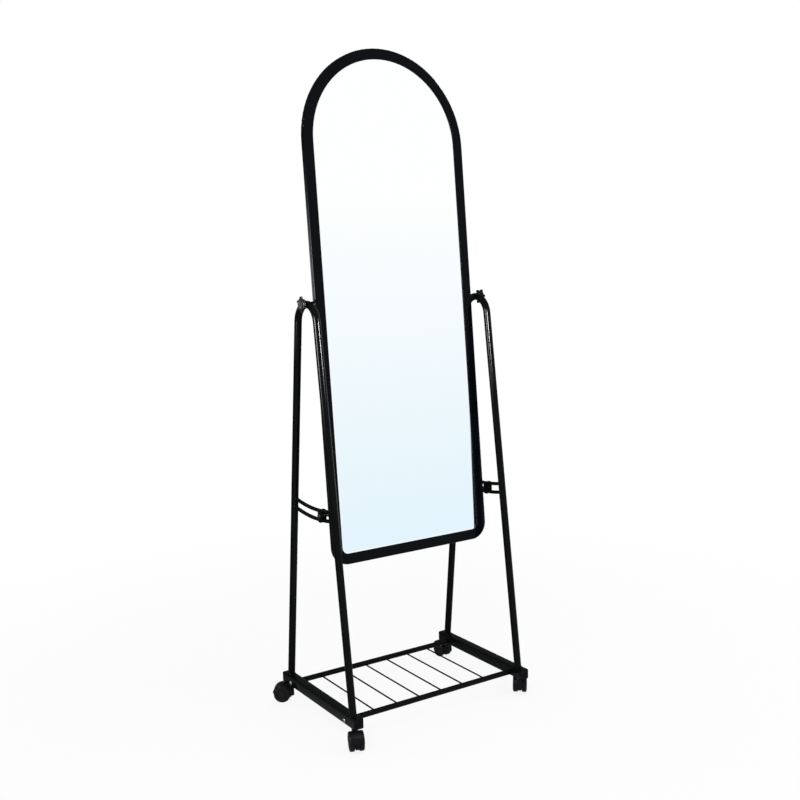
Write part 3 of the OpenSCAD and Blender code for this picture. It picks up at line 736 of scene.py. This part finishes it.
clipScrewLook = {
    "head": 0.00665, "height": 0.0018, "shank": 0.0035, "shankLength": 0.0062,
    "crown": 0.55, "slot": 0.0009, "slotLength": 0.58, "slotFloor": 0.45, "twist": 37,
    "inset": 0.00825, "back": -0.0082, "halfWidth": 0.201, "archY": 0.335, "bottomY": -0.552,
    "sideY": (-0.390, -0.170, 0.050, 0.270), "bottomX": 0.090, "archTurns": (45, 90, 135),
}


def makeClipScrews(look):
    height = look["height"]
    screw = addRod(look["head"] / 2, 0, height, vertices=32)
    selectFaces(screw, lambda centre, normal: normal.z > 0.9)
    bpy.ops.mesh.bevel(offset=height * look["crown"], segments=4)
    selectFaces(screw, lambda centre, normal: normal.z < -0.9)
    bpy.ops.mesh.inset(thickness=(look["head"] - look["shank"]) / 2)
    bpy.ops.mesh.extrude_region_move(TRANSFORM_OT_translate={"value": (0, 0, -look["shankLength"])})
    bpy.ops.object.mode_set(mode="OBJECT")
    slot = (look["head"] * look["slotLength"], look["slot"], height)
    middle = height * (look["slotFloor"] + 0.5)
    for turn in (0, 90):
        bpy.ops.mesh.primitive_cube_add(size=1, scale=slot, rotation=(0, 0, radians(turn)),
                                        location=(0, 0, middle))
        cutWith(screw, bpy.context.object)
    smooth(screw, angle=30)
    reach = look["halfWidth"] - look["inset"]
    spots = [(sign * reach, y) for sign in (-1, 1) for y in look["sideY"]]
    spots += [(sign * look["bottomX"], look["bottomY"] + look["inset"]) for sign in (-1, 1)]
    for turn in (radians(degrees) for degrees in look["archTurns"]):
        spots.append((reach * cos(turn), look["archY"] + reach * sin(turn)))
    backward = Matrix.Rotation(pi, 4, "X")
    copies = []
    for index, (x, y) in enumerate(spots):
        piece = copyOf(screw, "clipScrew%02d" % index)
        twist = Matrix.Rotation(radians(look["twist"] * index), 4, "Z")
        settle(piece, leaning() @ Matrix.Translation((x, y, look["back"])) @ backward @ twist)
        copies.append(piece)
    bpy.data.objects.remove(screw, do_unlink=True)
    pick(copies[0])
    for piece in copies:
        piece.select_set(True)
    bpy.ops.object.join()
    copies[0].name = "clipScrews"
    dress(copies[0], "mirror", "zinc_steel", materials["zinc_steel"], "clip_screws")


makeClipScrews(clipScrewLook)


# the foam sheet between the glass and the board

foamLook = {"soft": 0.0005, "steps": 2}


def makeFoam(look):
    foam = copyOfNode("foam_pad", "foamSheet")
    roundEdges(foam, look["soft"], look["steps"], limit=60)
    smooth(foam)
    dress(foam, "mirror", "foam", materials["foam"], "foam_pad")


makeFoam(foamLook)


# the pane: a flat mirror with a narrow polished border inside the frame's lip

paneLook = {"covered": 0.0056, "border": 0.0034}


def makePane(look):
    pane = copyOfNode("mirror_glass", "silveredPane")
    selectFaces(pane, lambda centre, normal: normal.y < -0.9)
    bpy.ops.mesh.inset(thickness=look["covered"])
    bpy.ops.mesh.inset(thickness=look["border"])
    bpy.ops.object.mode_set(mode="OBJECT")
    widest = max(face.area for face in pane.data.polygons if face.normal.y < -0.9)
    dress(pane, "mirror", "mirror_glass", materials["mirror_glass"], "mirror_glass")
    pane.data.materials.append(materials["polished_edge"])
    for face in pane.data.polygons:
        face.material_index = 0 if face.area > widest / 2 else 1


makePane(paneLook)
print("mirror dressed")


# studio: a wide pale floor, soft lamps, a white surround and the strips

studio = {
    "floorSize": 60, "floorColour": (0.86, 0.86, 0.86), "floorRough": 0.9, "floorSpecular": 0.1,
    "whiteShare": (0.86, 1), "whiteReach": (0.5, 1.9),
    "behind": (-0.5, 0.5), "behindSky": (-0.25, 0.35), "behindGlow": 0.16,
    "keyPlace": (-1.9, -2.4, 3.0), "keySize": 1.8, "keyPower": 40,
    "fillPlace": (2.6, -1.6, 2.4), "fillSize": 2.2, "fillPower": 22,
    "aim": (0, 0, 0.7), "ambient": 0.8,
}
strips = {  # tall soft boxes that only gloss shows, brightest at mid height; unlit pieces never do
    "backStrip": {
        "place": (-0.78, 1.00, 0.95), "width": 0.10, "height": 1.0, "glow": 7,
        "unlit": ("silveredPane",),
    },
    "leftStrip": {
        "place": (-1.40, -0.08, 0.98), "width": 0.44, "height": 1.1, "glow": 110,
        "unlit": ("silveredPane",),
    },
    "frontStrip": {
        "place": (-0.04, -0.47, 0.93), "width": 0.07, "height": 0.48, "glow": 600,
        "unlit": ("silveredPane", "mirror_frame"),
    },
}


def addLamp(name, spot, size, power, target):
    deselectAll()
    bpy.ops.object.light_add(type="AREA", location=spot)
    lamp = bpy.context.object
    lamp.name = name
    lamp.data.energy = power
    lamp.data.size = size
    aim = Vector(target) - lamp.location
    lamp.rotation_euler = aim.to_track_quat("-Z", "Y").to_euler()
    lamp.visible_glossy = False


def addMath(tree, operation, *inputs):  # sockets are linked and numbers are set
    node = tree.nodes.new("ShaderNodeMath")
    node.operation = operation
    for socket, value in zip(node.inputs, inputs):
        if isinstance(value, bpy.types.NodeSocket):
            tree.links.new(value, socket)
        else:
            socket.default_value = value
    return node.outputs[0]


def addSpread(tree, value, low, high, start, end):  # eases from start to end as the value goes up
    node = tree.nodes.new("ShaderNodeMapRange")
    node.interpolation_type = "SMOOTHSTEP"
    tree.links.new(value, node.inputs["Value"])
    for label, number in (("From Min", low), ("From Max", high), ("To Min", start), ("To Max", end)):
        node.inputs[label].default_value = number
    return node.outputs["Result"]


def splitCoords(tree, kind):
    coords = tree.nodes.new("ShaderNodeTexCoord")
    split = tree.nodes.new("ShaderNodeSeparateXYZ")
    tree.links.new(coords.outputs[kind], split.inputs["Vector"])
    return coords.outputs[kind], split


def makeFloor(look):
    deselectAll()
    bpy.ops.mesh.primitive_grid_add(x_subdivisions=4, y_subdivisions=4, size=look["floorSize"])
    floor = bpy.context.object
    floor.name = "studioFloor"
    material = bpy.data.materials.new("studioFloor")
    material.use_nodes = True
    tree = material.node_tree
    nodes, links = tree.nodes, tree.links
    shader = nodes["Principled BSDF"]
    shader.inputs["Roughness"].default_value = look["floorRough"]
    shader.inputs["Specular IOR Level"].default_value = look["floorSpecular"]
    shader.inputs["Base Color"].default_value = (*look["floorColour"], 1)
    spot, split = splitCoords(tree, "Object")
    away = nodes.new("ShaderNodeVectorMath")
    away.operation = "LENGTH"
    links.new(spot, away.inputs[0])
    paths = nodes.new("ShaderNodeLightPath")
    far = addSpread(tree, away.outputs["Value"], *look["whiteReach"], *look["whiteShare"])
    share = addMath(tree, "MAXIMUM", addMath(tree, "MULTIPLY", paths.outputs["Is Camera Ray"], far),
                    paths.outputs["Is Glossy Ray"])
    glow = addMath(tree, "MAXIMUM", paths.outputs["Is Camera Ray"],
                   addSpread(tree, split.outputs["Y"], *look["behind"], 1, look["behindGlow"]))
    white = nodes.new("ShaderNodeEmission")
    links.new(glow, white.inputs["Strength"])
    mix = nodes.new("ShaderNodeMixShader")
    links.new(share, mix.inputs["Fac"])
    links.new(shader.outputs["BSDF"], mix.inputs[1])
    links.new(white.outputs["Emission"], mix.inputs[2])
    links.new(mix.outputs["Shader"], nodes["Material Output"].inputs["Surface"])
    floor.data.materials.append(material)


def makeWorld(look):
    world = bpy.data.worlds.new("studioWorld")
    bpy.context.scene.world = world
    world.use_nodes = True
    tree = world.node_tree
    nodes, links = tree.nodes, tree.links
    nodes.clear()
    out = nodes.new("ShaderNodeOutputWorld")
    paths = nodes.new("ShaderNodeLightPath")
    split = splitCoords(tree, "Generated")[1]
    seen = addMath(tree, "MAXIMUM", paths.outputs["Is Camera Ray"], paths.outputs["Is Glossy Ray"])
    glow = addMath(tree, "MAXIMUM", paths.outputs["Is Camera Ray"],
                   addSpread(tree, split.outputs["Y"], *look["behindSky"], 1, look["behindGlow"]))
    soft = nodes.new("ShaderNodeBackground")
    soft.inputs["Strength"].default_value = look["ambient"]
    shown = nodes.new("ShaderNodeBackground")
    links.new(glow, shown.inputs["Strength"])
    for sky in (soft, shown):
        sky.inputs["Color"].default_value = (1, 1, 1, 1)
    mix = nodes.new("ShaderNodeMixShader")
    links.new(seen, mix.inputs["Fac"])
    links.new(soft.outputs["Background"], mix.inputs[1])
    links.new(shown.outputs["Background"], mix.inputs[2])
    links.new(mix.outputs["Shader"], out.inputs["Surface"])


def makeUnlit(name, pieces):  # the pieces that a strip leaves alone
    unlit = bpy.data.collections.new(name + "Unlit")
    for piece in pieces:
        unlit.objects.link(bpy.data.objects[piece])
    for entry in unlit.collection_objects:
        entry.light_linking.link_state = "EXCLUDE"
    return unlit


def makeStrip(name, look):
    deselectAll()
    x, y, _ = look["place"]
    facing = (pi / 2, 0, math.atan2(-x, y))
    bpy.ops.mesh.primitive_plane_add(size=1, location=look["place"], rotation=facing)
    strip = bpy.context.object
    strip.name = name
    strip.scale = (look["width"], look["height"], 1)
    pick(strip)
    bpy.ops.object.transform_apply(location=False, rotation=False, scale=True)
    material = bpy.data.materials.new(name)
    material.use_nodes = True
    tree = material.node_tree
    split = splitCoords(tree, "Object")[1]
    offset = addMath(tree, "ABSOLUTE", split.outputs["Y"])
    fade = addSpread(tree, offset, 0, look["height"] / 2, 1, 0)
    glow = addMath(tree, "MULTIPLY", addMath(tree, "POWER", fade, 2), look["glow"])
    white = tree.nodes.new("ShaderNodeEmission")
    tree.links.new(glow, white.inputs["Strength"])
    clear = tree.nodes.new("ShaderNodeBsdfTransparent")
    both = tree.nodes.new("ShaderNodeAddShader")
    tree.links.new(white.outputs["Emission"], both.inputs[0])
    tree.links.new(clear.outputs["BSDF"], both.inputs[1])
    tree.links.new(both.outputs["Shader"], tree.nodes["Material Output"].inputs["Surface"])
    strip.data.materials.append(material)
    strip.visible_camera = strip.visible_diffuse = strip.visible_shadow = False
    strip.light_linking.receiver_collection = makeUnlit(name, look["unlit"])


def makeStudio(look):
    makeFloor(look)
    makeWorld(look)
    for name in ("key", "fill"):
        spot, size, power = (look[name + part] for part in ("Place", "Size", "Power"))
        addLamp(name + "Lamp", spot, size, power, look["aim"])
    for name, strip in strips.items():
        makeStrip(name, strip)
    bpy.context.scene.view_settings.view_transform = "Standard"


makeStudio(studio)
print("studio made")


camera = {
    "place": (-1.23207, -1.91147, 0.98171), "azimuth": -32.911, "elevation": 7.439, "roll": -1.433,
    "lens": 46.936, "sensor": 36,
}


def makeCamera(view):
    az, el, roll = (radians(view[key]) for key in ("azimuth", "elevation", "roll"))
    back = Vector((sin(az) * cos(el), -cos(az) * cos(el), sin(el)))
    right = (-back).cross(Vector((0, 0, 1))).normalized()
    up = right.cross(-back)
    across = cos(roll) * right + sin(roll) * up
    upright = cos(roll) * up - sin(roll) * right
    deselectAll()
    bpy.ops.object.camera_add(location=view["place"])
    cam = bpy.context.object
    cam.name = "photoCamera"
    turn = Matrix((across, upright, back)).transposed().to_4x4()
    cam.matrix_world = Matrix.Translation(view["place"]) @ turn
    cam.data.sensor_width = view["sensor"]
    cam.data.lens = view["lens"]
    cam.data.clip_start = 0.01
    bpy.context.scene.camera = cam


makeCamera(camera)
print("camera made")
